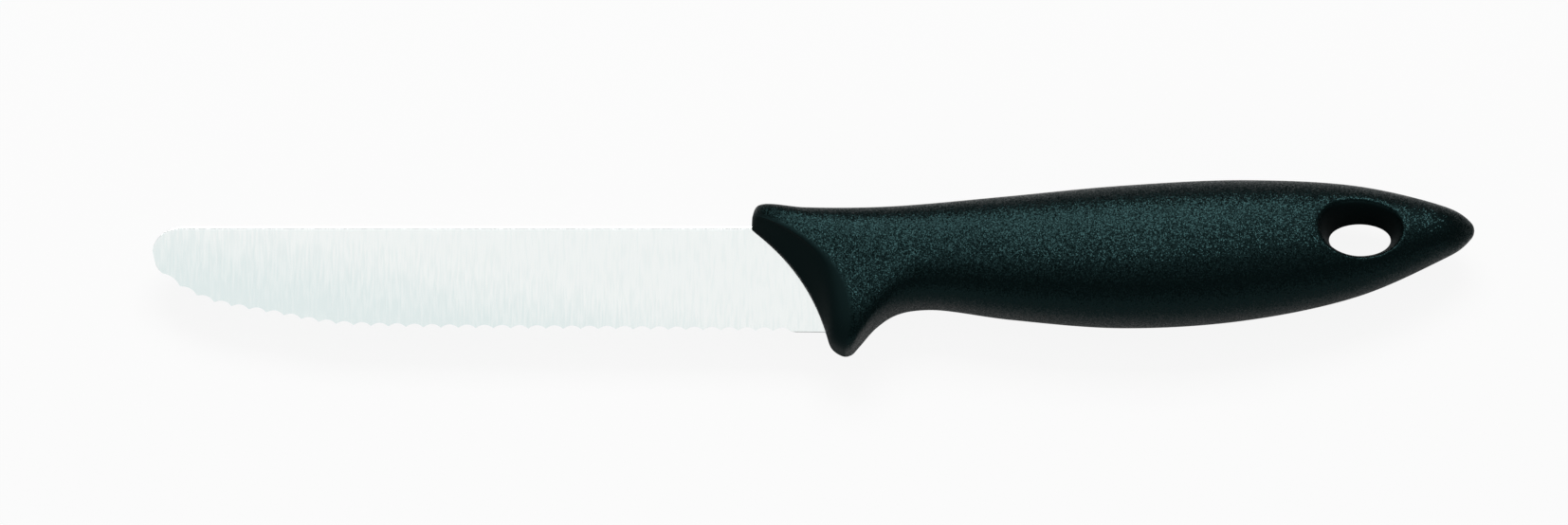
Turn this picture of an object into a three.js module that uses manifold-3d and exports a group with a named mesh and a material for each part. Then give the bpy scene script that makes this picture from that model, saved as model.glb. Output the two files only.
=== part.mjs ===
// A round-tipped kitchen knife with a scalloped edge: a steel blade whose hidden tang is held in a
// moulded plastic handle with a hanging hole.
// It is drawn with the heel of the blade at X = 0 (tip towards -X, butt towards +X), the spine at
// Y = 0 (cutting edge towards -Y) and the middle of the blade's thickness at Z = 0. The finished
// knife then lies on its side on the plane Z = 0. Sizes are in millimetres.

import * as THREE from 'three';
import { LoftGeometry } from 'three/addons/geometries/LoftGeometry.js';
import { mergeVertices } from 'three/addons/utils/BufferGeometryUtils.js';
import Module from 'manifold-3d';

const { lerp, degToRad } = THREE.MathUtils;

// Blade
const BLADE_LENGTH = 120; // heel to foremost point
const BLADE_HEIGHT = 19.5; // spine to edge at the heel
const BLADE_THICKNESS = 1.2; // at the spine
const EDGE_THICKNESS = 0.4; // of the ground blade at the heel's level, before the scallops
const SPINE_STRIP = 0.8; // height of the strip along the spine that is left parallel
const TIP_ROUND = 6; // length of the rounding between spine and foremost point
const TIP_DROP = 4.6; // the foremost point lies this far below the spine
const SWEEP_LENGTH = 48; // the edge sweeps up over this length behind the foremost point
const SWEEP_START = 0.8; // the edge has risen this much where the sweep starts
// The sweep, from the foremost point: share of its length, share of its rise
const SWEEP_SHAPE = [
  [0, 1],
  [0.015, 0.815],
  [0.042, 0.697],
  [0.102, 0.54],
  [0.165, 0.418],
  [0.229, 0.33],
  [0.36, 0.234],
  [0.492, 0.156],
  [0.594, 0.082],
  [0.71, 0.036],
  [1, 0],
];

// Scallops, ground into the back face only
const SCALLOP_PITCH = 3.11;
const SCALLOP_DEPTH = 0.68;
const SCALLOP_ANGLE = degToRad(20); // between the ground hollow and the blade
const HEEL_PLAIN = 6.25; // plain edge ahead of the heel
const TIP_PLAIN = 1.7; // plain edge behind the foremost point
const WHEEL_REACH = 14; // length of the grinding stroke

// Tang, hidden in the handle
const SHOULDER_DEPTH = 5; // the full blade reaches this far into the handle
const TANG_TO_HOLE = 19.8; // plastic between the end of the tang and the hanging hole
const TANG_HEIGHT = 10;
const TANG_DROP = 5.6; // spine to middle of tang
const TANG_OVERLAP = 1; // the tang starts this far inside the blade
const KEY_DIAMETER = 5; // of the tang's locking holes
const KEY_SPACING = 28;
const KEY_COUNT = 2;
const FIT_CLEARANCE = 0.3; // between the steel and the plastic, all round

// Front of the handle
const LIP_REACH = 13.2; // the handle reaches this far ahead of the heel at the spine
const LIP_RISE = 3.5; // lip above the spine
const LIP_ROUND = 1; // length of the lip's rounded nose
const LIP_DIP = 0.65; // hollow of the top edge between lip and neck
const GUARD_DROP = 4; // tip of the finger guard below the heel
const GUARD_SET = 3.2; // tip of the finger guard behind the heel
const SEAT_DROP = 0.6; // spine to upper end of the front edge that meets the blade
const SEAT_SAG = 1.9; // hollow of the front edge
const SEAT_WALL = 0.5; // plastic on each side of the blade at the front edge
const SEAT_SQUARENESS = 5; // 2 is an ellipse
const COVE_WIDTH = 5; // sloping front face, from the front edge to its crest
const COVE_SLIDE = 4; // the thickest place of the crest lies this much nearer to the guard
const CREST_THICKNESS = 12;
const CREST_SQUARENESS = 3.6;
// The sloping front face, from the front edge to its crest: shares of its width, rise and slide, and how
// far its ends lie up the lip and round the guard, each as shares of the run and the rise
const COVE_SHAPE = [
  { width: 0, rise: 0, slide: 0, upLip: [0, 0], roundGuard: [0, 0] },
  { width: 0.7, rise: 0.8, slide: 0.2, upLip: [0.05, 0.4], roundGuard: [0.34, 0.67] },
  { width: 1, rise: 1, slide: 1, upLip: [0.12, 0.55], roundGuard: [1, 1] },
];
const LIP_SIDE = 0.16; // the lip's section passes the side at this share of the way from crest to neck
// Back of the guard, from its tip to the neck: share of the run, share of the rise
const GUARD_BACK = [
  [0.08, 0.03],
  [0.145, 0.155],
  [0.338, 0.57],
  [0.6, 0.89],
];

// Grip, in sections from the neck to the hanging hole: share of the way, top edge above the spine,
// height, thickness and squareness
const NECK_REACH = 18.4; // heel to neck
const NECK = { share: 0, top: 3.93, height: 18.85, thickness: 13.2, squareness: 2.7 };
const SWELL = { share: 0.19, top: 5.35, height: 22.1, thickness: 15, squareness: 2.6 };
const BELLY = { share: 0.45, top: 7.3, height: 25.6, thickness: 16.6, squareness: 2.5 };
const PALM = { share: 0.736, top: 8.4, height: 25.3, thickness: 16.2, squareness: 2.4 };
const TAIL = { share: 1, top: 7.35, height: 19.8, thickness: 12.8, squareness: 2.3 };

// Rounded end of the handle
const BUTT_REACH = 115.8; // heel to butt
const BUTT_ROUND = 6.1; // length of the rounded end
const BUTT_HEIGHT = 9.9; // where the rounded end starts
const BUTT_THICKNESS = 8.8; // where the rounded end starts
const BUTT_SQUARENESS = 2.2;
const BUTT_DROP = 0.62; // spine to rearmost point
const BUTT_SAG = 0.4; // the middle of the rounded end starts this much lower
// The rounded end: share of its length that is left, share of its size
const BUTT_SHAPE = [
  [1, 1],
  [0.44, 0.67],
  [0.16, 0.38],
  [0.04, 0.19],
  [0, 0],
];

// Hanging hole, narrowest in the middle of the handle
const HOLE_FROM_BUTT = 20.5;
const HOLE_DROP = 2.4; // spine to middle of hole
const HOLE_LENGTH = 11;
const HOLE_HEIGHT = 5.9;
// For each millimetre out from the middle, the hole gets this much longer and higher at each end, and its
// own middle moves this much towards the spine
const HOLE_DRAFT_LENGTH = 0.3;
const HOLE_DRAFT_HEIGHT = 0.41;
const HOLE_LIFT = 0.1;
const HOLE_OVERCUT = 1; // the cut goes this far past the faces

// Fineness of the faceting
const CURVE_TOLERANCE = 1e-9;
const TIP_STATIONS = 9;
const BLADE_STATION = 6; // spacing along the straight spine
const FACET_LINE = 0.3; // the facets above the scallops start at this share of the blade's height
const WHEEL_SIDES = 64;
const TANG_SEGMENTS = 12; // in each curve of the tang
const RAIL_STEPS = 5; // rings between two sections of the handle
const RING_POINTS = 32;
const HOLE_POINTS = 36;

const wasm = await Module();
wasm.setup();

// A closed geometry as a solid. Every facet keeps its own number, so that cuts leave the others whole.
function toSolid(geometry) {
  const bare = new THREE.BufferGeometry();
  bare.setAttribute('position', geometry.attributes.position);
  bare.setIndex(geometry.index);
  const merged = mergeVertices(bare);
  const corners = merged.index.array;
  const triangles = [];
  for (let i = 0; i < corners.length; i += 3) {
    const [a, b, c] = corners.slice(i, i + 3);
    if (a !== b && b !== c && c !== a) triangles.push(a, b, c);
  }
  const mesh = new wasm.Mesh({
    numProp: 3,
    vertProperties: new Float32Array(merged.attributes.position.array),
    triVerts: new Uint32Array(triangles),
    faceID: Uint32Array.from({ length: triangles.length / 3 }, (_, facet) => facet),
  });
  return new wasm.Manifold(mesh);
}

function toGeometry(solid) {
  const { vertProperties, triVerts } = solid.getMesh();
  const geometry = new THREE.BufferGeometry();
  geometry.setAttribute('position', new THREE.BufferAttribute(vertProperties, 3));
  geometry.setIndex(new THREE.BufferAttribute(triVerts, 1));
  const faceted = geometry.toNonIndexed();
  faceted.computeVertexNormals();
  return faceted;
}

function smoothCurve(points) {
  return new THREE.CatmullRomCurve3(points, false, 'centripetal');
}

// Cutting edge: a line through the points of the teeth, from the heel to the foremost point
const sweepRise = BLADE_HEIGHT - TIP_DROP - SWEEP_START;
const sweepPoints = SWEEP_SHAPE.map(([run, rise]) => {
  const x = run * SWEEP_LENGTH - BLADE_LENGTH;
  return new THREE.Vector3(x, SWEEP_START - BLADE_HEIGHT + rise * sweepRise, 0);
});
const edgeCurve = smoothCurve([
  new THREE.Vector3(0, -BLADE_HEIGHT, 0),
  new THREE.Vector3((SWEEP_LENGTH - BLADE_LENGTH) / 2, SWEEP_START / 2 - BLADE_HEIGHT, 0),
  ...sweepPoints.toReversed(),
]);

function edgeAt(x) {
  if (x >= 0) return -BLADE_HEIGHT;
  let before = 0;
  let after = 1;
  while (after - before > CURVE_TOLERANCE) {
    const middle = (before + after) / 2;
    if (edgeCurve.getPoint(middle).x > x) before = middle;
    else after = middle;
  }
  return edgeCurve.getPoint(after).y;
}

function spineAt(x) {
  const ahead = Math.max(0, TIP_ROUND - BLADE_LENGTH - x) / TIP_ROUND;
  return TIP_DROP * (Math.sqrt(Math.max(0, 1 - ahead * ahead)) - 1);
}

// Half the blade's thickness: parallel along the spine, then an even taper to the edge
function halfThicknessAt(y) {
  const share = Math.max(0, -y - SPINE_STRIP) / (BLADE_HEIGHT - SPINE_STRIP);
  return lerp(BLADE_THICKNESS, EDGE_THICKNESS, share) / 2;
}

// Slanted end of the full blade, inside the handle
function shoulderAt(y) {
  return SHOULDER_DEPTH - LIP_REACH * (1 + y / BLADE_HEIGHT);
}

// One cross-section of the blade, from the spine down one face and up the other
function bladeSection(xAt, top, bottom, grow) {
  const stripEnd = Math.min(top, -SPINE_STRIP);
  const levels = [top, stripEnd, lerp(bottom, stripEnd, FACET_LINE), bottom];
  const shift = [grow, 0, 0, -grow];
  const face = levels.map(
    (y, i) => new THREE.Vector3(xAt(y), y + shift[i], halfThicknessAt(y) + grow),
  );
  const otherFace = face.toReversed().map((p) => new THREE.Vector3(p.x, p.y, -p.z));
  return [...face, ...otherFace];
}

// The blade before its scallops, grown on all sides where it serves to cut its seat
function bladeBlank(grow = 0) {
  const stations = [];
  for (let i = 0; i <= TIP_STATIONS; i += 1) {
    stations.push(TIP_ROUND * (i / TIP_STATIONS) ** 2 - BLADE_LENGTH);
  }
  const straight = BLADE_LENGTH - TIP_ROUND - LIP_REACH - BLADE_STATION;
  const steps = Math.round(straight / BLADE_STATION);
  for (let i = 1; i <= steps; i += 1) {
    stations.push(TIP_ROUND - BLADE_LENGTH + (straight * i) / steps);
  }
  const sections = stations.map((x) => bladeSection(() => x, spineAt(x), edgeAt(x), grow));
  sections.push(bladeSection((y) => shoulderAt(y) + grow, 0, -BLADE_HEIGHT, grow));
  const closesAtTip = grow === 0;
  return toSolid(new LoftGeometry(sections, { capStart: !closesAtTip, capEnd: true }));
}

const holeCentre = BUTT_REACH - HOLE_FROM_BUTT;
const tangEnd = holeCentre - HOLE_LENGTH / 2 - TANG_TO_HOLE;

// A strip with a round end and locking holes, grown like the blade where it cuts its seat
function tangSolid(grow = 0) {
  const half = TANG_HEIGHT / 2 + grow;
  const top = half - TANG_DROP;
  const bottom = -half - TANG_DROP;
  const roundCentre = tangEnd - TANG_HEIGHT / 2;
  const outline = new THREE.Shape();
  outline.moveTo(shoulderAt(bottom) - TANG_OVERLAP, bottom);
  outline.lineTo(roundCentre, bottom);
  outline.absarc(roundCentre, -TANG_DROP, half, -Math.PI / 2, Math.PI / 2);
  outline.lineTo(shoulderAt(top) - TANG_OVERLAP, top);
  for (let i = 0; i < KEY_COUNT; i += 1) {
    const x = tangEnd / 2 + (i - (KEY_COUNT - 1) / 2) * KEY_SPACING;
    const hole = new THREE.Path();
    hole.absarc(x, -TANG_DROP, KEY_DIAMETER / 2 - grow, 0, Math.PI * 2, true);
    outline.holes.push(hole);
  }
  const depth = BLADE_THICKNESS + 2 * grow;
  const options = { depth, bevelEnabled: false, curveSegments: TANG_SEGMENTS };
  const geometry = new THREE.ExtrudeGeometry(outline, options);
  geometry.translate(0, 0, -depth / 2);
  return toSolid(geometry);
}

// The stroke of a round wheel that grinds one scallop between two tooth points. It leans over the
// back face and just reaches the front face in the middle of the scallop.
function scallopStroke(heelSide, tipSide) {
  const along = tipSide.clone().sub(heelSide);
  const inward = new THREE.Vector3(along.y, -along.x, 0).normalize();
  const backward = new THREE.Vector3(0, 0, -1);
  const depth = SCALLOP_DEPTH * inward.y;
  const reach = depth * Math.sin(SCALLOP_ANGLE);
  const radius = (along.lengthSq() / 4 + reach ** 2) / (2 * reach);
  const stroke = inward.clone().multiplyScalar(Math.cos(SCALLOP_ANGLE));
  stroke.addScaledVector(backward, Math.sin(SCALLOP_ANGLE));
  const away = inward.clone().multiplyScalar(-Math.sin(SCALLOP_ANGLE));
  away.addScaledVector(backward, Math.cos(SCALLOP_ANGLE));
  const centre = heelSide.clone().lerp(tipSide, 0.5).addScaledVector(inward, depth);
  centre.z = halfThicknessAt(centre.y);
  centre.addScaledVector(away, radius);
  const wheel = new THREE.CylinderGeometry(radius, radius, WHEEL_REACH, WHEEL_SIDES);
  const turn = new THREE.Quaternion().setFromUnitVectors(new THREE.Vector3(0, 1, 0), stroke);
  wheel.applyQuaternion(turn);
  wheel.translate(centre.x, centre.y, centre.z);
  return toSolid(wheel);
}

function bladeGeometry() {
  let blade = bladeBlank().add(tangSolid());
  const count = Math.floor((BLADE_LENGTH - HEEL_PLAIN - TIP_PLAIN) / SCALLOP_PITCH);
  const tooth = (i) => {
    const x = -HEEL_PLAIN - i * SCALLOP_PITCH;
    return new THREE.Vector3(x, edgeAt(x), 0);
  };
  for (let i = 0; i < count; i += 1) {
    blade = blade.subtract(scallopStroke(tooth(i), tooth(i + 1)));
  }
  return toGeometry(blade);
}

// A point that lies these shares of the run and the rise from one point to another
function partWay(from, to, [run, rise]) {
  return new THREE.Vector2(lerp(from.x, to.x, run), lerp(from.y, to.y, rise));
}

// An upright section of the handle
function uprightSection(x, { top, height, thickness, squareness }) {
  return {
    top: new THREE.Vector2(x, top),
    side: new THREE.Vector2(x, top - height / 2),
    bottom: new THREE.Vector2(x, top - height),
    thickness,
    squareness,
  };
}

function gripSection(sizes) {
  return uprightSection(lerp(NECK_REACH, holeCentre, sizes.share), sizes);
}

function buttSection([left, size]) {
  const height = BUTT_HEIGHT * size;
  const sizes = {
    top: height / 2 - BUTT_DROP - BUTT_SAG * left,
    height,
    thickness: BUTT_THICKNESS * size,
    squareness: BUTT_SQUARENESS,
  };
  return uprightSection(BUTT_REACH - BUTT_ROUND * left, sizes);
}

// Slanted sections at the front of the handle: up the sloping face to its crest, over the lip and the
// guard, and back to the neck
function frontSections() {
  const seatTop = new THREE.Vector2(-LIP_REACH, -SEAT_DROP);
  const seatBottom = new THREE.Vector2(0, -BLADE_HEIGHT);
  const outOfBlade = new THREE.Vector2(BLADE_HEIGHT, LIP_REACH).normalize();
  const toGuard = new THREE.Vector2(LIP_REACH, -BLADE_HEIGHT).normalize();
  const seatSide = seatTop.clone().lerp(seatBottom, 0.5).addScaledVector(outOfBlade, SEAT_SAG);
  const coveSide = (width, slide) => {
    const side = seatSide.clone().addScaledVector(outOfBlade, COVE_WIDTH * width);
    return side.addScaledVector(toGuard, COVE_SLIDE * slide);
  };
  const crestSide = coveSide(1, 1);
  const seatThickness = BLADE_THICKNESS + 2 * (FIT_CLEARANCE + SEAT_WALL);
  const lip = new THREE.Vector2(LIP_ROUND - LIP_REACH, LIP_RISE);
  const guard = new THREE.Vector2(GUARD_SET, -BLADE_HEIGHT - GUARD_DROP);
  const neck = gripSection(NECK);

  const coveSections = COVE_SHAPE.map(({ width, rise, slide, upLip, roundGuard }) => ({
    top: partWay(seatTop, lip, upLip),
    side: coveSide(width, slide),
    bottom: partWay(seatBottom, guard, roundGuard),
    thickness: lerp(seatThickness, CREST_THICKNESS, rise),
    squareness: lerp(SEAT_SQUARENESS, CREST_SQUARENESS, width),
  }));

  const throatSections = GUARD_BACK.map((guardShares, i) => {
    const share = i / GUARD_BACK.length;
    const sideShare = lerp(LIP_SIDE, 1, share);
    const top = lip.clone().lerp(neck.top, share);
    top.y -= LIP_DIP * 4 * share * (1 - share);
    return {
      top,
      side: crestSide.clone().lerp(neck.side, sideShare),
      bottom: partWay(guard, neck.bottom, guardShares),
      thickness: lerp(CREST_THICKNESS, neck.thickness, sideShare),
      squareness: lerp(CREST_SQUARENESS, neck.squareness, share),
    };
  });

  return [...coveSections, ...throatSections];
}

// One ring of the handle's skin: it leaves the top edge, passes the side and returns by the bottom edge
function skinRing(top, side, bottom, squareness) {
  const rounded = (wave) => Math.sign(wave) * Math.abs(wave) ** (2 / squareness);
  const halfHeight = top.clone().sub(bottom).multiplyScalar(0.5);
  const bow = top.clone().add(bottom).multiplyScalar(0.5).sub(side);
  const ring = [];
  for (let i = 0; i < RING_POINTS; i += 1) {
    const angle = (2 * Math.PI * i) / RING_POINTS;
    const up = rounded(Math.cos(angle));
    const point = side.clone().addScaledVector(halfHeight, up).addScaledVector(bow, up * up);
    point.z = side.z * rounded(Math.sin(angle));
    ring.push(point);
  }
  return ring;
}

// The outside of the handle, spread along smooth rails through the edges and sides of its sections
function handleSkin() {
  const sections = [
    ...frontSections(),
    ...[NECK, SWELL, BELLY, PALM, TAIL].map(gripSection),
    ...BUTT_SHAPE.map(buttSection),
  ];
  const railThrough = (place, depth) =>
    smoothCurve(sections.map((s) => new THREE.Vector3(s[place].x, s[place].y, depth * s.thickness)));
  const rails = [railThrough('top', 0), railThrough('side', 0.5), railThrough('bottom', 0)];
  const gaps = sections.length - 1;
  const rings = [];
  for (let i = 0; i <= gaps * RAIL_STEPS; i += 1) {
    const place = i / RAIL_STEPS;
    const before = sections[Math.floor(place)];
    const after = sections[Math.ceil(place)];
    const squareness = lerp(before.squareness, after.squareness, place % 1);
    const [top, side, bottom] = rails.map((rail) => rail.getPoint(place / gaps));
    rings.push(skinRing(top, side, bottom, squareness));
  }
  const frontLine = rings[0].map((p) => new THREE.Vector3(p.x, p.y, 0));
  return toSolid(new LoftGeometry([frontLine, ...rings]));
}

// The hole is widest at both faces and is cut past them
function hangingHole() {
  const past = Math.max(BELLY.thickness, PALM.thickness, TAIL.thickness) / 2 + HOLE_OVERCUT;
  const ring = (z, open) => {
    const out = Math.abs(z);
    const halfLength = open * (HOLE_LENGTH / 2 + HOLE_DRAFT_LENGTH * out);
    const halfHeight = open * (HOLE_HEIGHT / 2 + HOLE_DRAFT_HEIGHT * out);
    const points = [];
    for (let i = 0; i < HOLE_POINTS; i += 1) {
      const angle = (2 * Math.PI * i) / HOLE_POINTS;
      const x = holeCentre + halfLength * Math.cos(angle);
      const y = HOLE_LIFT * out - HOLE_DROP + halfHeight * Math.sin(angle);
      points.push(new THREE.Vector3(x, y, z));
    }
    return points;
  };
  const rings = [ring(-past, 0), ring(-past, 1), ring(0, 1), ring(past, 1), ring(past, 0)];
  return toSolid(new LoftGeometry(rings));
}

function handleGeometry() {
  const handle = handleSkin()
    .subtract(bladeBlank(FIT_CLEARANCE))
    .subtract(tangSolid(FIT_CLEARANCE))
    .subtract(hangingHole());
  return toGeometry(handle);
}

const steel = new THREE.MeshStandardMaterial({ color: 0xe4ebea, roughness: 0.3, metalness: 1 });
const plastic = new THREE.MeshStandardMaterial({ color: 0x101b1b, roughness: 0.5, metalness: 0 });

const blade = new THREE.Mesh(bladeGeometry(), steel);
blade.name = 'blade';
const handle = new THREE.Mesh(handleGeometry(), plastic);
handle.name = 'handle';

// Lay the knife down: the middle of its length and height over the origin, its lowest side on Z = 0
const knife = new THREE.Group();
knife.add(blade, handle);
const box = new THREE.Box3().setFromObject(knife);
const middle = box.getCenter(new THREE.Vector3());
knife.position.set(-middle.x, -middle.y, -box.min.z);

const part = new THREE.Group();
part.add(knife);

export default part;
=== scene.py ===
"""Looks of a round-tipped kitchen knife: a scalloped steel blade in a moulded plastic handle.

Shapes are worked out in millimetres, with the heel of the blade at X = 0 (tip towards -X), the spine at
Y = 0 (edge towards -Y) and the middle of the thickness at Z = 0. to_frame() gives their places in metres.
"""

import math

import bmesh
import bpy
import numpy as np
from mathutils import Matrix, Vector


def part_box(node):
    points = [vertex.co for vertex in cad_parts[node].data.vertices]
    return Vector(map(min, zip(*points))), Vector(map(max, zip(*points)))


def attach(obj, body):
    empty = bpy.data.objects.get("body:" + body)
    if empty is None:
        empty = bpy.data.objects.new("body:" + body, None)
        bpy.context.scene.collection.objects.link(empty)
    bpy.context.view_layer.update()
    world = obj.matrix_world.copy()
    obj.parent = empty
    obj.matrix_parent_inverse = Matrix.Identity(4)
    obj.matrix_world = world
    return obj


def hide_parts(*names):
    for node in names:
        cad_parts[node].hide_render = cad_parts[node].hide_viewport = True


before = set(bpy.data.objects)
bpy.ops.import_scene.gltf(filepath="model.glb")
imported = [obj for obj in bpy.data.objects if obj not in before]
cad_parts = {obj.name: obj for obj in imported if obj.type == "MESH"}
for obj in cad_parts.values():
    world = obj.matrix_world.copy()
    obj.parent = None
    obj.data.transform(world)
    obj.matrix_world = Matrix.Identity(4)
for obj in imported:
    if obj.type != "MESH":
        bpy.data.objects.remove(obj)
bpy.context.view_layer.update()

MM = 0.001

# Blade
BLADE_LENGTH = 120
BLADE_HEIGHT = 19.5
BLADE_THICKNESS = 1.2
EDGE_THICKNESS = 0.4
SPINE_STRIP = 0.8
SPINE_ROUND = 0.05
TIP_ROUND = 6
TIP_DROP = 4.6
SWEEP_LENGTH = 48
SWEEP_START = 0.8
# The sweep of the edge, from the foremost point: share of its length, share of its rise
SWEEP_SHAPE = [
    (0, 1), (0.015, 0.815), (0.042, 0.697), (0.102, 0.54), (0.165, 0.418), (0.229, 0.33),
    (0.36, 0.234), (0.492, 0.156), (0.594, 0.082), (0.71, 0.036), (1, 0),
]
SCALLOP_PITCH = 3.11
SCALLOP_DEPTH = 0.68
SCALLOP_ANGLE = math.radians(20)
HEEL_PLAIN = 6.25
TIP_PLAIN = 1.7

# Tang, hidden in the handle
SHOULDER_DEPTH = 5
TANG_TO_HOLE = 19.8
TANG_HEIGHT = 10
TANG_DROP = 5.6
TANG_OVERLAP = 1
KEY_DIAMETER = 5
KEY_SPACING = 28
KEY_COUNT = 2
MOULD_GAP = 0.04

# Front of the handle
LIP_REACH = 13.2
LIP_RISE = 3.5
LIP_ROUND = 1
LIP_DIP = 0.65
GUARD_DROP = 4
GUARD_SET = 3.2
SEAT_DROP = 0.6
SEAT_SAG = 1.9
SEAT_THICKNESS = 2.8
SEAT_SQUARENESS = 5
COVE_WIDTH = 5
COVE_SLIDE = 4  # the thickest place of the crest lies this much nearer to the guard
CREST_THICKNESS = 12
CREST_SQUARENESS = 3.6
# The sloping face, from the blade to its crest: shares of its width, rise and slide, and how far its ends
# lie up the lip and round the guard, each as shares of the run and the rise
COVE_SHAPE = [
    (0, 0, 0, (0, 0), (0, 0)),
    (0.7, 0.8, 0.2, (0.05, 0.4), (0.34, 0.67)),
    (1, 1, 1, (0.12, 0.55), (1, 1)),
]
LIP_SIDE = 0.16  # the first side behind the crest lies this share of the way to the neck
# The guard's back, on its way to the neck: shares of the run and the rise
GUARD_BACK = [(0.08, 0.03), (0.145, 0.155), (0.338, 0.57), (0.6, 0.89)]

# Grip, in sections from the neck to the hanging hole: share of the way, top edge above the spine,
# height, thickness, squareness
NECK_REACH = 18.4
NECK = (0, 3.93, 18.85, 13.2, 2.7)
SWELL = (0.19, 5.35, 22.1, 15, 2.6)
BELLY = (0.45, 7.3, 25.6, 16.6, 2.5)
PALM = (0.736, 8.4, 25.3, 16.2, 2.4)
TAIL = (1, 7.35, 19.8, 12.8, 2.3)

# Rounded end of the handle
BUTT_REACH = 115.8
BUTT_ROUND = 6.1
BUTT_HEIGHT = 9.9
BUTT_THICKNESS = 8.8
BUTT_SQUARENESS = 2.2
BUTT_DROP = 0.62
BUTT_SAG = 0.4
# The rounding, from its start to the end: share of its length that is left, share of the full size
BUTT_SHAPE = [(1, 1), (0.44, 0.67), (0.16, 0.38), (0.04, 0.19), (0, 0)]

# Hanging hole, narrowest at its waist in the middle of the thickness
HOLE_FROM_BUTT = 20.5
HOLE_DROP = 2.4
HOLE_LENGTH = 11
HOLE_HEIGHT = 5.9
HOLE_DRAFT = np.array([0.3, 0.41])  # growth of the half length and half height with the way from the waist
HOLE_LIFT = np.array([0, 0.1])  # shift of the hole's centre with the way from the waist
HOLE_FILLET = 0.65  # how softly the face rounds over into the hole's wall
HOLE_CLIMB = 9.2  # the wall's rings go on to this distance from the waist
HOLE_MARGIN = 10.5  # the finer mesh round the hole reaches this far along the handle

# Fineness of the meshes
TIP_COLUMNS = 20
SCALLOP_COLUMNS = 14
HEEL_COLUMNS = 24
SCALLOP_ROWS = 8
FACE_ROWS = 6
BEVEL_STEPS = 4
EDGE_SAMPLES = 4001
EDGE_SEARCH = 2  # the bottom of a scallop is looked for this far above the line through the teeth
SCALLOP_SEARCH = 4  # the top of a scallop is looked for this far above its bottom
LEAST_SCALLOP = 0.5  # the scallops' rows are at least this high, or this share of the blade's height there
LEAST_SCALLOP_SHARE = 0.2
MOST_SCALLOP_SHARE = 0.6
STRIP_LINE = 0.05  # half the width of the row where the taper starts
THIN_SHARE = 0.1  # bevel and strip line take at most this share of the height there
RING_POINTS = 96
RING_STEP = 0.8
FEWEST_RINGS = 10
WALL_RINGS = 48
COLLAR_RINGS = 7
COLLAR_START = RING_POINTS // 10  # the finer mesh starts this many points from the top and bottom edges
ETCH_FADE = 0.4  # the grain fades in over this share of the way from the crest to the next section
TANG_ARC_POINTS = 24
ROOT_ROUNDS = 40
SKIN_ROUNDS = 12
SKIN_NUDGE = 1e-5
MERGE_DISTANCE = 1e-7  # metres
SHARP_ANGLE = math.radians(32)

# Studio, with lengths in metres
FLOOR_SIZE = 12
FLOOR_COLOUR = (0.7, 0.7, 0.7, 1)
FLOOR_GLOW = 0.9  # share of the floor that is plain white where it is seen
FLOOR_MIRRORED_GLOW = 0.15  # the same in reflections, which keep the shadow
WHITE = (1, 1, 1, 1)
WORLD_LEVEL = 0.18
LAMP_DISTANCE = 1.1
BACK_LAMP_LEAN = math.radians(38)
BACK_LAMP_WIDTH = 0.8
BACK_LAMP_DEPTH = 0.42
BACK_LAMP_LEVEL = 10
TOP_LAMP_LEAN = math.radians(12)
TOP_LAMP_WIDTH = 1.6
TOP_LAMP_DEPTH = 0.42
TOP_LAMP_LEVEL = 0.745
FRONT_CARD_LEAN = math.radians(-68)
FRONT_CARD_WIDTH = 2
FRONT_CARD_DEPTH = 0.8
FRONT_CARD_LEVEL = 0.62
CAMERA_TILT = math.radians(17)
CAMERA_DISTANCE = 1.45
CAMERA_TARGET = (-7.436, -6.54, 0)  # millimetres, as the knife
CAMERA_SENSOR = 36  # millimetres, as the lens
CAMERA_LENS = 186.75

# Looks
NOISE_DETAIL = 2.0
# Painted light and shade on the steel: its colour where the blade is painted lightest, then where it is
# painted darkest
STEEL_PAINTED_LIGHT = (0.905, 0.94, 0.93, 1)
STEEL_PAINTED_SHADE = (0.79, 0.872, 0.867, 1)
STEEL_SMOOTH = 0.115
STEEL_ROUGH = 0.14
PAINTED_SHADE_ALONG = 0.146  # how fast the painted shade lightens the steel towards the handle, against PAINTED_SHADE_UP towards the spine
PAINTED_SHADE_UP = 0.789
PAINTED_SHADE_DARKEST = -26  # millimetres, where the painted shade makes the steel darkest
PAINTED_SHADE_LIGHTEST = -12.5  # millimetres, where the painted shade leaves it lightest
GRIND_WIDTH = 0.0004  # metres, of the widest grind lines
GRIND_LENGTH = 0.004
GRIND_DEPTH = 0.000002
GRIND_LOW = 0.3  # the noise between these two levels makes the grind lines
GRIND_HIGH = 0.7
GRIND_SHADE = 0.5  # how much a grind line shifts the steel between its painted shade and its painted light colours
PLASTIC_DARK = (0.0007, 0.0016, 0.0017, 1)
PLASTIC_LIGHT = (0.0012, 0.0026, 0.0027, 1)
PLASTIC_TINT = (0.4, 0.97, 1, 1)
PLASTIC_GLOSS = 1
PLASTIC_REFRACTION = 1.165
SMOOTH_ROUGHNESS = 0.6
GRAIN_SMOOTH = 0.15
GRAIN_ROUGH = 0.45
GRAIN_SIZE = 0.00018
GRAIN_TILT = 0.4  # how far the facets of the grain lean off the skin
GRAIN_MIDDLE = (0.5, 0.5, 0.5)  # the colour of a facet that doesn't lean
CLOUD_SIZE = 0.012
# Sockets of a mix node for colours
MIX_SHARE = 0
MIX_FIRST = 6
MIX_SECOND = 7
MIX_RESULT = 2

# Worked out from the sizes above
HOLE_CENTRE = BUTT_REACH - HOLE_FROM_BUTT
TANG_END = HOLE_CENTRE - HOLE_LENGTH / 2 - TANG_TO_HOLE
SEAT_CUT_START = -2 * LIP_REACH  # well ahead of the handle


def to_frame(points):
    """Points of the knife in millimetres, as places in the frame in metres."""
    low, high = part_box("blade")
    heel = np.array([low.x + BLADE_LENGTH * MM, high.y, (low.z + high.z) / 2])
    return np.asarray(points, float).reshape(-1, 3) * MM + heel


def blend(start, end, share):
    return start + (end - start) * share


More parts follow.
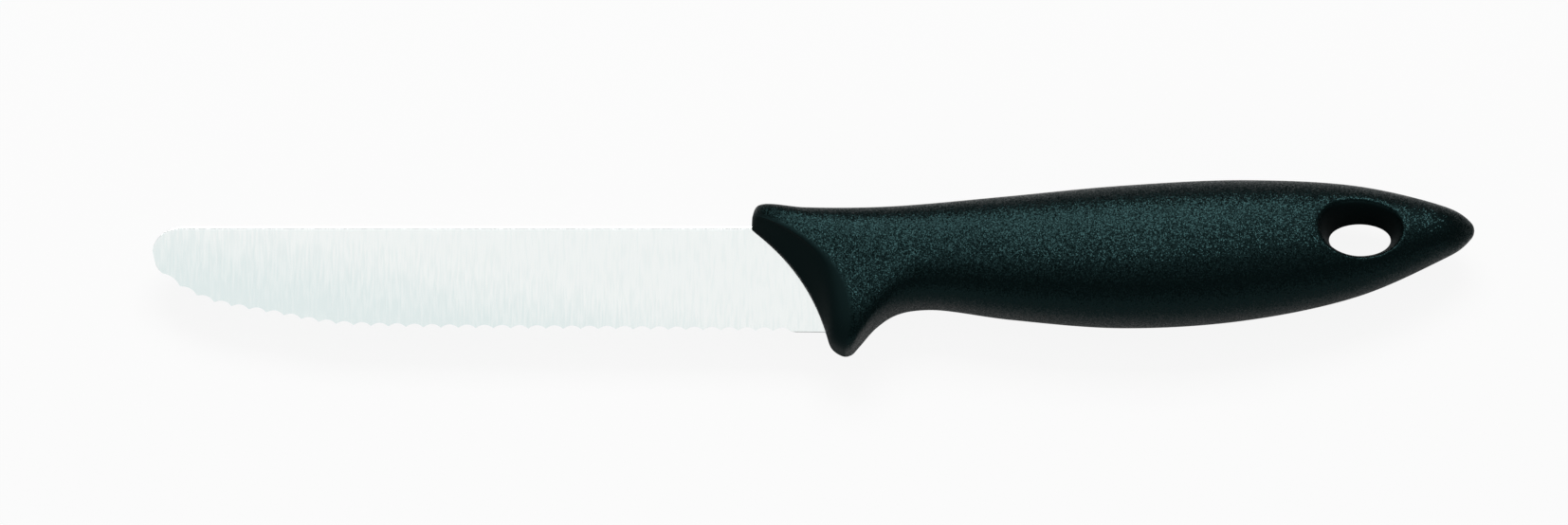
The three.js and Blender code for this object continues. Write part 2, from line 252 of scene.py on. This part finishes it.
def smooth_curve(points, places):
    """A centripetal Catmull-Rom curve through the points. A place counts the points from the first."""
    points = np.asarray(points, float)
    padded = np.vstack([2 * points[0] - points[1], points, 2 * points[-1] - points[-2]])
    gap = np.clip(np.floor(places).astype(int), 0, len(points) - 2)
    share = (places - gap)[:, None]
    p0, p1, p2, p3 = (padded[gap + k] for k in range(4))
    knot = [np.sqrt(np.linalg.norm(b - a, axis=1))[:, None] for a, b in ((p0, p1), (p1, p2), (p2, p3))]
    leave = ((p1 - p0) / knot[0] - (p2 - p0) / (knot[0] + knot[1]) + (p2 - p1) / knot[1]) * knot[1]
    arrive = ((p2 - p1) / knot[1] - (p3 - p1) / (knot[1] + knot[2]) + (p3 - p2) / knot[2]) * knot[1]
    cubic = leave + arrive - 2 * (p2 - p1)
    square = 3 * (p2 - p1) - 2 * leave - arrive
    return p1 + share * (leave + share * (square + share * cubic))


def falling_root(function, low, high):
    """Where a falling function passes zero between low and high, or low where it starts below zero."""
    for _ in range(ROOT_ROUNDS):
        middle = (low + high) / 2
        above = function(middle) > 0
        low = np.where(above, middle, low)
        high = np.where(above, high, middle)
    return low


def add_piece(name, points, faces, etched=None):
    """A closed mesh in the frame, its double points merged and its faces turned outwards."""
    mesh = bpy.data.meshes.new(name)
    mesh.from_pydata(to_frame(points).tolist(), [], [list(map(int, face)) for face in faces])
    if etched is not None:
        mesh.attributes.new("etched", "FLOAT", "POINT").data.foreach_set("value", etched)
    shape = bmesh.new()
    shape.from_mesh(mesh)
    bmesh.ops.remove_doubles(shape, verts=shape.verts, dist=MERGE_DISTANCE)
    bmesh.ops.dissolve_degenerate(shape, dist=MERGE_DISTANCE, edges=shape.edges)
    bmesh.ops.recalc_face_normals(shape, faces=shape.faces)
    if shape.calc_volume(signed=True) < 0:
        bmesh.ops.reverse_faces(shape, faces=shape.faces)
    shape.to_mesh(mesh)
    shape.free()
    piece = bpy.data.objects.new(name, mesh)
    bpy.context.scene.collection.objects.link(piece)
    return piece


def loft_faces(ring_count, point_count):
    """Faces between rings of points, each ring closed on itself."""
    faces = []
    for ring in range(ring_count - 1):
        for point in range(point_count):
            following = (point + 1) % point_count
            here, ahead = ring * point_count, (ring + 1) * point_count
            faces.append((here + point, ahead + point, ahead + following, here + following))
    return faces


def combine(piece, tool, operation):
    """Joins a tool to a piece or cuts it out, and removes the tool."""
    change = piece.modifiers.new(operation.lower(), "BOOLEAN")
    change.operation = operation
    change.solver = "EXACT"
    change.object = tool
    graph = bpy.context.evaluated_depsgraph_get()
    result = bpy.data.meshes.new_from_object(piece.evaluated_get(graph))
    piece.modifiers.clear()
    old = piece.data
    piece.data = result
    bpy.data.meshes.remove(old)
    bpy.data.objects.remove(tool)


# Blade


def edge_at(x):
    """Height of the line through the teeth."""
    rise = BLADE_HEIGHT - TIP_DROP - SWEEP_START
    points = [(run * SWEEP_LENGTH - BLADE_LENGTH, SWEEP_START - BLADE_HEIGHT + up * rise)
              for run, up in SWEEP_SHAPE]
    points.append(((SWEEP_LENGTH - BLADE_LENGTH) / 2, SWEEP_START / 2 - BLADE_HEIGHT))
    points.append((0, -BLADE_HEIGHT))
    line = smooth_curve(points[::-1], np.linspace(0, len(points) - 1, EDGE_SAMPLES))[::-1]
    return np.interp(x, line[:, 0], line[:, 1])


def top_at(x):
    """Height of the spine, with its rounding at the tip and the slanted shoulder inside the handle."""
    ahead = np.maximum(0, TIP_ROUND - BLADE_LENGTH - x) / TIP_ROUND
    spine = TIP_DROP * (np.sqrt(np.maximum(0, 1 - ahead ** 2)) - 1)
    shoulder = BLADE_HEIGHT * ((SHOULDER_DEPTH - x) / LIP_REACH - 1)
    return np.minimum(spine, shoulder)


def half_thickness(y):
    """Half the blade's thickness: even along the spine, then tapering to the edge."""
    share = np.maximum(0, -y - SPINE_STRIP) / (BLADE_HEIGHT - SPINE_STRIP)
    return blend(BLADE_THICKNESS, EDGE_THICKNESS, share) / 2


def tooth_places():
    """Points of the teeth, from the heel to the tip."""
    count = int((BLADE_LENGTH - HEEL_PLAIN - TIP_PLAIN) // SCALLOP_PITCH)
    x = -HEEL_PLAIN - SCALLOP_PITCH * np.arange(count + 1)
    return np.column_stack([x, edge_at(x)])


def ground_height(x, y, teeth):
    """Height of the hollows that a wheel leaves between the teeth: nothing of the blade lies below it."""
    sine, cosine = math.sin(SCALLOP_ANGLE), math.cos(SCALLOP_ANGLE)
    height = np.full(np.broadcast(x, y).shape, -np.inf)
    for heel_side, tip_side in zip(teeth[:-1], teeth[1:]):
        pitch = np.linalg.norm(tip_side - heel_side)
        along = (tip_side - heel_side) / pitch
        inward = np.array([along[1], -along[0]])
        depth = SCALLOP_DEPTH * inward[1]
        reach = depth * sine
        radius = (pitch ** 2 / 4 + reach ** 2) / (2 * reach)
        middle = (heel_side + tip_side) / 2 + inward * depth
        aside = (x - middle[0]) * along[0] + (y - middle[1]) * along[1]
        inside = (x - middle[0]) * inward[0] + (y - middle[1]) * inward[1]
        bulge = radius - np.sqrt(np.maximum(0, radius ** 2 - aside ** 2))
        top = half_thickness(middle[1]) - (bulge + sine * inside) / cosine
        height = np.maximum(height, np.where(np.abs(aside) < radius, top, -np.inf))
    return height


def blade_columns(teeth):
    """Places along the blade: close together at the round tip and at the scallops."""
    tip = np.linspace(0, 1, TIP_COLUMNS, endpoint=False) ** 2
    first, last = teeth[-1, 0], teeth[0, 0]
    scallops = np.linspace(first, last, SCALLOP_COLUMNS * (len(teeth) - 1), endpoint=False)
    heel = np.linspace(last, SHOULDER_DEPTH, HEEL_COLUMNS + 1)
    return np.concatenate([blend(-BLADE_LENGTH, first, tip), scallops, heel])


def steps(start, end, count):
    """Columns of values from start up to, but without, end."""
    return blend(start[:, None], end[:, None], np.arange(count) / count)


def scallop_span(x, top, teeth):
    """Heights of the edge and of the upper end of the ground hollow in each column."""
    def over_front(y):
        return ground_height(x, y, teeth) - half_thickness(y)

    def over_back(y):
        return ground_height(x, y, teeth) + half_thickness(y)

    line = edge_at(x)
    bottom = np.minimum(falling_root(over_front, line, line + EDGE_SEARCH), top)
    hollow = falling_root(over_back, bottom, bottom + SCALLOP_SEARCH)
    height = top - bottom
    least = np.minimum(LEAST_SCALLOP, LEAST_SCALLOP_SHARE * height)
    return bottom, np.clip(hollow, bottom + least, bottom + MOST_SCALLOP_SHARE * height)


def blade_levels(x, teeth):
    """Heights of the points up each column, from the edge to the spine's bevel, and the bevel's size."""
    top = top_at(x)
    bottom, hollow = scallop_span(x, top, teeth)
    bevel = np.minimum(SPINE_ROUND, THIN_SHARE * (top - bottom))
    rim = top - bevel
    strip_line = np.minimum(STRIP_LINE, THIN_SHARE * (rim - hollow))
    strip = np.clip(-SPINE_STRIP, (hollow + rim) / 2, rim - 2 * strip_line)
    levels = np.hstack([
        steps(bottom, hollow, SCALLOP_ROWS),
        steps(hollow, strip - strip_line, FACE_ROWS),
        steps(strip - strip_line, strip + strip_line, 1),
        steps(strip + strip_line, rim, 1),
        rim[:, None],
    ])
    return levels, bevel[:, None]


def make_blade():
    """The blade in rings round its columns, joined to its tang."""
    teeth = tooth_places()
    x = blade_columns(teeth)[:, None]
    levels, bevel = blade_levels(x[:, 0], teeth)
    front = half_thickness(levels)
    back = np.maximum(-front, ground_height(x, levels, teeth))
    turn = np.arange(1, BEVEL_STEPS + 1) / BEVEL_STEPS * math.pi / 2
    bevel_y = levels[:, -1:] + bevel * np.sin(turn)
    bevel_z = front[:, -1:] - bevel * (1 - np.cos(turn))
    ring_y = np.hstack([levels, bevel_y, bevel_y[:, ::-1], levels[:, ::-1]])
    ring_z = np.hstack([front, bevel_z, -bevel_z[:, ::-1], np.minimum(back, front)[:, ::-1]])
    rings = np.stack([np.broadcast_to(x, ring_y.shape), ring_y, ring_z], axis=2)
    piece = add_piece("scalloped_blade", rings, loft_faces(*ring_y.shape))
    combine(piece, tang_tool(0), "UNION")
    return piece


def shoulder_at(y):
    """Place of the blade's slanted shoulder along the handle."""
    return SHOULDER_DEPTH - LIP_REACH * (1 + y / BLADE_HEIGHT)


def tang_arc(x, radius, turn):
    """Points round a centre on the middle line of the tang."""
    return [(x + radius * math.cos(angle), radius * math.sin(angle) - TANG_DROP) for angle in turn]


def tang_outlines(grow):
    """Outline of the tang, then of its locking holes, for a tang grown by a gap on all sides."""
    half = TANG_HEIGHT / 2 + grow
    half_turn = np.linspace(-math.pi / 2, math.pi / 2, TANG_ARC_POINTS)
    outline = tang_arc(TANG_END - TANG_HEIGHT / 2, half, half_turn)
    for y in (half - TANG_DROP, -half - TANG_DROP):
        outline.append((shoulder_at(y) - TANG_OVERLAP, y))
    loops = [outline]
    full_turn = np.linspace(0, 2 * math.pi, 2 * TANG_ARC_POINTS, endpoint=False)
    for i in range(KEY_COUNT):
        x = TANG_END / 2 + (i - (KEY_COUNT - 1) / 2) * KEY_SPACING
        loops.append(tang_arc(x, KEY_DIAMETER / 2 - grow, full_turn))
    return loops


def tang_tool(grow):
    """The tang with its locking holes, grown where it serves to cut its own seat."""
    curve = bpy.data.curves.new("tang", "CURVE")
    curve.dimensions = "2D"
    curve.fill_mode = "BOTH"
    curve.extrude = (BLADE_THICKNESS / 2 + grow) * MM
    for loop in tang_outlines(grow):
        spline = curve.splines.new("POLY")
        spline.points.add(len(loop) - 1)
        spline.use_cyclic_u = True
        for point, (x, y) in zip(spline.points, loop):
            point.co = (x * MM, y * MM, 0, 1)
    holder = bpy.data.objects.new("tang", curve)
    mesh = holder.to_mesh()
    points = np.array([vertex.co[:] for vertex in mesh.vertices]) / MM
    faces = [polygon.vertices[:] for polygon in mesh.polygons]
    tool = add_piece("tang", points, faces)
    bpy.data.objects.remove(holder)
    return tool


def blade_seat_tool(grow):
    """The end of the blade that the handle holds, grown to cut its seat."""
    levels = np.array([grow, -SPINE_STRIP, -BLADE_HEIGHT - grow])
    half = half_thickness(levels) + grow
    section = [*zip(levels, half), *zip(levels[::-1], -half[::-1])]
    start = [(SEAT_CUT_START, y, z) for y, z in section]
    end = [(shoulder_at(y) + grow, y, z) for y, z in section]
    count = len(section)
    faces = [range(count), range(count, 2 * count), *loft_faces(2, count)]
    return add_piece("blade_seat", start + end, faces)


# Handle


def part_way(start, end, shares):
    """A point between two others, at one share of the way or at a share along each axis."""
    return np.array(start) + (np.array(end) - np.array(start)) * np.array(shares)


def upright_section(x, top, height, thickness, squareness):
    """A section as its top, side and bottom points, its thickness and its squareness."""
    return (x, top), (x, top - height / 2), (x, top - height), thickness, squareness


def grip_section(share, *sizes):
    return upright_section(blend(NECK_REACH, HOLE_CENTRE, share), *sizes)


def butt_section(left, size):
    x = BUTT_REACH - BUTT_ROUND * left
    height = BUTT_HEIGHT * size
    top = height / 2 - BUTT_DROP - BUTT_SAG * left
    return upright_section(x, top, height, BUTT_THICKNESS * size, BUTT_SQUARENESS)


def front_sections():
    """Slanted sections: up the sloping face to its crest, over lip and guard, and back to the neck."""
    seat_top = np.array([-LIP_REACH, -SEAT_DROP])
    seat_bottom = np.array([0, -BLADE_HEIGHT])
    slant = math.hypot(BLADE_HEIGHT, LIP_REACH)
    out_of_blade = np.array([BLADE_HEIGHT, LIP_REACH]) / slant
    to_guard = np.array([LIP_REACH, -BLADE_HEIGHT]) / slant
    seat_side = (seat_top + seat_bottom) / 2 + out_of_blade * SEAT_SAG
    lip = np.array([LIP_ROUND - LIP_REACH, LIP_RISE])
    guard = np.array([GUARD_SET, -BLADE_HEIGHT - GUARD_DROP])
    neck_top, neck_side, neck_bottom, neck_thickness, neck_squareness = grip_section(*NECK)
    sections = []
    for width, rise, slide, up_lip, round_guard in COVE_SHAPE:
        sections.append((
            part_way(seat_top, lip, up_lip),
            seat_side + out_of_blade * COVE_WIDTH * width + to_guard * COVE_SLIDE * slide,
            part_way(seat_bottom, guard, round_guard),
            blend(SEAT_THICKNESS, CREST_THICKNESS, rise),
            blend(SEAT_SQUARENESS, CREST_SQUARENESS, width),
        ))
    crest_side = sections[-1][1]
    for i, shares in enumerate(GUARD_BACK):
        share = i / len(GUARD_BACK)
        side_share = blend(LIP_SIDE, 1, share)
        # A parabola that is LIP_DIP deep half way
        dip = np.array([0, LIP_DIP * 4 * share * (1 - share)])
        sections.append((
            part_way(lip, neck_top, share) - dip,
            part_way(crest_side, neck_side, side_share),
            part_way(guard, neck_bottom, shares),
            blend(CREST_THICKNESS, neck_thickness, side_share),
            blend(CREST_SQUARENESS, neck_squareness, share),
        ))
    return sections


def handle_sections():
    sections = front_sections()
    sections += [grip_section(*sizes) for sizes in (NECK, SWELL, BELLY, PALM, TAIL)]
    sections += [butt_section(*shares) for shares in BUTT_SHAPE]
    return sections


class Skin:
    """The outside of the handle, spread along rails through the edges and sides of its sections."""

    def __init__(self):
        sections = handle_sections()
        self.squareness = [section[4] for section in sections]
        self.top = [(*section[0], 0) for section in sections]
        self.side = [(*section[1], section[3] / 2) for section in sections]
        self.bottom = [(*section[2], 0) for section in sections]

    def point(self, place, up, out):
        """Points at places along the rails, from -1 at the bottom edge to 1 at the top edge."""
        top, side, bottom = (smooth_curve(rail, place) for rail in (self.top, self.side, self.bottom))
        up = up[:, None]
        points = side + up * (top - bottom) / 2 + up ** 2 * ((top + bottom) / 2 - side)
        points[:, 2] = side[:, 2] * out
        return points

    def squareness_at(self, place):
        return np.interp(place, np.arange(len(self.squareness)), self.squareness)

    def height_point(self, place, up):
        """Points on the upper half of the skin."""
        power = self.squareness_at(place)
        return self.point(place, up, np.maximum(0, 1 - np.abs(up) ** power) ** (1 / power))

    def ring_places(self):
        """Places for rings about one step apart."""
        count = len(self.side)
        places = []
        for gap in range(count - 1):
            lengths = [math.dist(rail[gap], rail[gap + 1]) for rail in (self.top, self.side, self.bottom)]
            rings = max(FEWEST_RINGS, round(max(lengths) / RING_STEP))
            places.append(gap + np.arange(rings) / rings)
        return np.concatenate([*places, [count - 1]])

    def ring(self, place):
        """A closed ring of points, a superellipse between the rails."""
        turn = 2 * math.pi * np.arange(RING_POINTS) / RING_POINTS
        power = self.squareness_at(place)
        size = (np.abs(np.cos(turn)) ** power + np.abs(np.sin(turn)) ** power) ** (-1 / power)
        places = np.full(RING_POINTS, float(place))
        return self.point(places, size * np.cos(turn), size * np.sin(turn))

    def over(self, points):
        """Points of the upper half that lie over the given points near the hanging hole."""
        place = np.interp(points[:, 0], [point[0] for point in self.side], np.arange(len(self.side)))
        up = np.zeros(len(points))
        for _ in range(SKIN_ROUNDS):
            here = self.height_point(place, up)[:, :2]
            along = (self.height_point(place + SKIN_NUDGE, up)[:, :2] - here) / SKIN_NUDGE
            across = (self.height_point(place, up + SKIN_NUDGE)[:, :2] - here) / SKIN_NUDGE
            miss = points[:, :2] - here
            area = along[:, 0] * across[:, 1] - along[:, 1] * across[:, 0]
            place = place + (miss[:, 0] * across[:, 1] - miss[:, 1] * across[:, 0]) / area
            up = up + (along[:, 0] * miss[:, 1] - along[:, 1] * miss[:, 0]) / area
        return self.height_point(place, up)


def hole_collar(skin, outer):
    """Rings from the hole's waist, up its wall and over its rounded rim, to just inside an outer loop.

    Each ring comes with how far its points are etched: not at all on the wall, fully on the face.
    """
    centre = np.array([HOLE_CENTRE, -HOLE_DROP])
    halves = np.array([HOLE_LENGTH, HOLE_HEIGHT]) / 2
    away = (outer[:, :2] - centre - HOLE_LIFT * HOLE_CLIMB) / (halves + HOLE_DRAFT * HOLE_CLIMB)
    turn = np.arctan2(away[:, 1], away[:, 0])
    circle = np.column_stack([np.cos(turn), np.sin(turn)])
    rings = []
    for wall in np.linspace(0, HOLE_CLIMB, WALL_RINGS + 1):
        points = centre + HOLE_LIFT * wall + circle * (halves + HOLE_DRAFT * wall)
        face = skin.over(points)[:, 2]
        height = np.maximum(0, face - HOLE_FILLET * np.logaddexp(0, (face - wall) / HOLE_FILLET))
        etched = np.clip(1 + (wall - face) / HOLE_FILLET, 0, 1)
        rings.append((np.column_stack([points, height]), etched))
    collar_edge = points
    for step in range(1, COLLAR_RINGS):
        points = blend(collar_edge, outer[:, :2], step / COLLAR_RINGS)
        rings.append((skin.over(points), np.ones(len(points))))
    return rings


def hole_window(rings):
    """The part of the skin's mesh that the collar replaces: its first and last ring, low and high point."""
    middles = rings[:, RING_POINTS // 4, 0]
    along = np.flatnonzero(np.abs(middles - HOLE_CENTRE) < HOLE_MARGIN)
    return along[0], along[-1], COLLAR_START, RING_POINTS // 2 - COLLAR_START


def window_loop(first, last, low, high):
    """The mesh points round the window, as numbers of ring and point."""
    loop = [(ring, low) for ring in range(first, last)]
    loop += [(last, point) for point in range(low, high)]
    loop += [(ring, high) for ring in range(last, first, -1)]
    loop += [(first, point) for point in range(high, low, -1)]
    return loop


def faces_round_window(ring_count, first, last, low, high):
    """Faces of the skin without the windows on its two sides."""
    faces = []
    for number, face in enumerate(loft_faces(ring_count, RING_POINTS)):
        ring, point = divmod(number, RING_POINTS)
        mirrored = RING_POINTS - 1 - point
        in_window = first <= ring < last and (low <= point < high or low <= mirrored < high)
        if not in_window:
            faces.append(face)
    return faces


def collar_faces(rows):
    """Faces between rows of point numbers, each row closed on itself."""
    faces = []
    for inner, outer in zip(rows[:-1], rows[1:]):
        for k in range(len(inner)):
            ahead = (k + 1) % len(inner)
            faces.append((inner[k], inner[ahead], outer[ahead], outer[k]))
    return faces


def handle_skin():
    """Points, faces and etching of the handle's closed outside, with the hanging hole through it."""
    skin = Skin()
    places = skin.ring_places()
    rings = [skin.ring(place) for place in places]
    front_line = rings[0] * np.array([1, 1, 0])
    rings = np.array([front_line, *rings])
    points = list(rings.reshape(-1, 3))
    crest = len(COVE_SHAPE) - 1
    ring_etched = np.interp([0, *places], [crest, crest + ETCH_FADE], [0, 1])
    etched = list(np.repeat(ring_etched, RING_POINTS))

    window = hole_window(rings)
    loop = window_loop(*window)
    faces = faces_round_window(len(rings), *window)
    collar = hole_collar(skin, np.array([rings[ring, point] for ring, point in loop]))
    for side in (1, -1):
        rows = []
        for collar_ring, collar_etched in collar:
            rows.append(range(len(points), len(points) + len(collar_ring)))
            points += list(collar_ring * np.array([1, 1, side]))
            etched += list(collar_etched)
        rows.append([ring * RING_POINTS + side * point % RING_POINTS for ring, point in loop])
        faces += collar_faces(rows)
    return points, faces, etched


def make_handle():
    """The handle, with the seat for the blade and the tang's pocket cut out of it."""
    piece = add_piece("moulded_handle", *handle_skin())
    combine(piece, blade_seat_tool(MOULD_GAP), "DIFFERENCE")
    combine(piece, tang_tool(MOULD_GAP), "DIFFERENCE")
    return piece


def finish_shading(piece):
    piece.data.shade_smooth()
    piece.data.set_sharp_from_angle(angle=SHARP_ANGLE)


# Materials


def new_material(name):
    material = bpy.data.materials.new(name)
    material.use_nodes = True
    return material, material.node_tree.nodes["Principled BSDF"]


def add_node(material, kind, inputs, **settings):
    """A node whose inputs are given as plain values or as outputs of other nodes."""
    tree = material.node_tree
    node = tree.nodes.new("ShaderNode" + kind)
    for name, value in settings.items():
        setattr(node, name, value)
    for name, value in inputs.items():
        if isinstance(value, bpy.types.NodeSocket):
            tree.links.new(value, node.inputs[name])
        else:
            node.inputs[name].default_value = value
    return node


def number_math(material, operation, inputs):
    return add_node(material, "Math", inputs, operation=operation).outputs["Value"]


def vector_math(material, operation, inputs, output="Vector"):
    return add_node(material, "VectorMath", inputs, operation=operation).outputs[output]


def noise(material, place, size):
    """Noise in grains of a size in metres, or of a size along each axis."""
    sizes = np.broadcast_to(size, 3)
    scaled = add_node(material, "Mapping", {"Vector": place, "Scale": 1 / sizes}).outputs["Vector"]
    inputs = {"Vector": scaled, "Scale": 1, "Detail": NOISE_DETAIL}
    return add_node(material, "TexNoise", inputs).outputs["Fac"]


def spread(material, value, low, high, to_low, to_high):
    """A value eased from one range to another."""
    inputs = {"Value": value, "From Min": low, "From Max": high, "To Min": to_low, "To Max": to_high}
    return add_node(material, "MapRange", inputs, interpolation_type="SMOOTHSTEP").outputs["Result"]


def mix_colours(material, share, first, second):
    """A colour between two others, by a share that varies over the surface."""
    inputs = {MIX_SHARE: share, MIX_FIRST: first, MIX_SECOND: second}
    return add_node(material, "Mix", inputs, data_type="RGBA").outputs[MIX_RESULT]


def steel_material():
    """Satin steel with grind lines from spine to edge, and painted shade that darkens it towards the tip of
    the edge.
    """
    material, shader = new_material("satin_steel")
    links = material.node_tree.links
    place = add_node(material, "TexCoord", {}).outputs["Object"]
    from_heel = vector_math(material, "SUBTRACT", {0: place, 1: to_frame((0, 0, 0))[0]})
    # Painted shade: the steel's colour is darker towards the tip and the edge, lighter towards the spine
    # and the handle
    painted_shade_slope = (PAINTED_SHADE_ALONG / MM, PAINTED_SHADE_UP / MM, 0)
    painted_shade = vector_math(material, "DOT_PRODUCT", {0: from_heel, 1: painted_shade_slope}, "Value")
    lines = noise(material, place, (GRIND_WIDTH, GRIND_LENGTH, GRIND_LENGTH))
    streak = spread(material, lines, GRIND_LOW, GRIND_HIGH, -GRIND_SHADE / 2, GRIND_SHADE / 2)
    # Painted shade mixed with the grind lines, between the painted shade and painted light colours
    painted_shade_and_grind = spread(material, painted_shade, PAINTED_SHADE_DARKEST, PAINTED_SHADE_LIGHTEST, 0, 1)
    painted_shade_and_grind = number_math(material, "ADD", {0: painted_shade_and_grind, 1: streak})
    roughness = spread(material, lines, GRIND_LOW, GRIND_HIGH, STEEL_SMOOTH, STEEL_ROUGH)
    bump = add_node(material, "Bump", {"Height": lines, "Distance": GRIND_DEPTH}).outputs["Normal"]
    shader.inputs["Metallic"].default_value = 1
    links.new(mix_colours(material, painted_shade_and_grind, STEEL_PAINTED_SHADE, STEEL_PAINTED_LIGHT), shader.inputs["Base Color"])
    links.new(roughness, shader.inputs["Roughness"])
    links.new(bump, shader.inputs["Normal"])
    return material


def plastic_material():
    """Black plastic with a teal sheen and an etched grain that spares the front hollow and the hole."""
    material, shader = new_material("etched_plastic")
    links = material.node_tree.links
    place = add_node(material, "TexCoord", {}).outputs["Object"]
    etched = add_node(material, "Attribute", {}, attribute_name="etched").outputs["Fac"]
    facets = add_node(material, "TexVoronoi", {"Vector": place, "Scale": 1 / GRAIN_SIZE}).outputs["Color"]
    level = add_node(material, "SeparateColor", {"Color": facets}).outputs["Red"]
    grain = spread(material, level, 0, 1, GRAIN_SMOOTH, GRAIN_ROUGH)
    finish = {"Value": etched, "To Min": SMOOTH_ROUGHNESS, "To Max": grain}
    roughness = add_node(material, "MapRange", finish).outputs["Result"]
    lean = vector_math(material, "SUBTRACT", {0: facets, 1: GRAIN_MIDDLE})
    tilt = number_math(material, "MULTIPLY", {0: etched, 1: GRAIN_TILT})
    lean = vector_math(material, "SCALE", {0: lean, "Scale": tilt})
    skin = add_node(material, "NewGeometry", {}).outputs["Normal"]
    normal = vector_math(material, "ADD", {0: skin, 1: lean})
    normal = vector_math(material, "NORMALIZE", {0: normal})
    cloud = noise(material, place, CLOUD_SIZE)
    shader.inputs["IOR"].default_value = PLASTIC_REFRACTION
    shader.inputs["Specular IOR Level"].default_value = PLASTIC_GLOSS
    shader.inputs["Specular Tint"].default_value = PLASTIC_TINT
    links.new(mix_colours(material, cloud, PLASTIC_DARK, PLASTIC_LIGHT), shader.inputs["Base Color"])
    links.new(roughness, shader.inputs["Roughness"])
    links.new(normal, shader.inputs["Normal"])
    return material


# Studio


def floor_material():
    """A white glow where it is seen, less of it in reflections, mixed with plain shading for the shadow."""
    material, shader = new_material("white_floor")
    tree = material.node_tree
    tree.nodes.remove(shader)
    path = add_node(material, "LightPath", {}).outputs
    mirrored = number_math(material, "ADD", {0: path["Is Glossy Ray"], 1: path["Is Transmission Ray"]})
    seen = number_math(material, "MULTIPLY", {0: path["Is Camera Ray"], 1: FLOOR_GLOW})
    share = number_math(material, "MULTIPLY_ADD", {0: mirrored, 1: FLOOR_MIRRORED_GLOW, 2: seen})
    shading = add_node(material, "BsdfDiffuse", {"Color": FLOOR_COLOUR}).outputs["BSDF"]
    glow = add_node(material, "Emission", {"Color": WHITE, "Strength": 1}).outputs["Emission"]
    mix = add_node(material, "MixShader", {0: share, 1: shading, 2: glow})
    tree.links.new(mix.outputs["Shader"], tree.nodes["Material Output"].inputs["Surface"])
    return material


def make_floor():
    mesh = bpy.data.meshes.new("floor")
    half = FLOOR_SIZE / 2
    corners = [(-half, -half, 0), (half, -half, 0), (half, half, 0), (-half, half, 0)]
    mesh.from_pydata(corners, [], [(0, 1, 2, 3)])
    mesh.materials.append(floor_material())
    floor = bpy.data.objects.new("floor", mesh)
    bpy.context.scene.collection.objects.link(floor)


def make_softbox(name, lean, width, depth, level):
    """A large lamp that leans from the zenith towards the spine and faces the knife. Level 1 is white."""
    lamp = bpy.data.lights.new(name, "AREA")
    lamp.shape = "RECTANGLE"
    lamp.size = width
    lamp.size_y = depth
    lamp.energy = level * math.pi * width * depth
    holder = bpy.data.objects.new(name, lamp)
    holder.location = (0, LAMP_DISTANCE * math.sin(lean), LAMP_DISTANCE * math.cos(lean))
    holder.rotation_euler = (-lean, 0, 0)
    bpy.context.scene.collection.objects.link(holder)


def make_world():
    world = bpy.data.worlds.new("studio")
    world.use_nodes = True
    background = world.node_tree.nodes["Background"]
    background.inputs["Color"].default_value = (WORLD_LEVEL, WORLD_LEVEL, WORLD_LEVEL, 1)
    bpy.context.scene.world = world


def make_camera():
    """A long lens that looks down on the knife, tilted a little towards its edge."""
    camera = bpy.data.cameras.new("camera")
    camera.sensor_width = CAMERA_SENSOR
    camera.lens = CAMERA_LENS
    holder = bpy.data.objects.new("camera", camera)
    back = np.array([0, -math.sin(CAMERA_TILT), math.cos(CAMERA_TILT)])
    holder.location = to_frame(CAMERA_TARGET)[0] + back * CAMERA_DISTANCE
    holder.rotation_euler = (CAMERA_TILT, 0, 0)
    bpy.context.scene.collection.objects.link(holder)
    bpy.context.scene.camera = holder


bpy.context.scene.view_settings.view_transform = "Standard"

blade = make_blade()
handle = make_handle()
for piece, node, slot, material in (
    (blade, "blade", "steel", steel_material()),
    (handle, "handle", "plastic", plastic_material()),
):
    finish_shading(piece)
    piece.data.materials.clear()
    piece.data.materials.append(material)
    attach(piece, "root")
    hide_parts(node)

make_floor()
make_softbox("back_lamp", BACK_LAMP_LEAN, BACK_LAMP_WIDTH, BACK_LAMP_DEPTH, BACK_LAMP_LEVEL)
make_softbox("top_lamp", TOP_LAMP_LEAN, TOP_LAMP_WIDTH, TOP_LAMP_DEPTH, TOP_LAMP_LEVEL)
make_softbox("front_card", FRONT_CARD_LEAN, FRONT_CARD_WIDTH, FRONT_CARD_DEPTH, FRONT_CARD_LEVEL)
make_world()
make_camera()
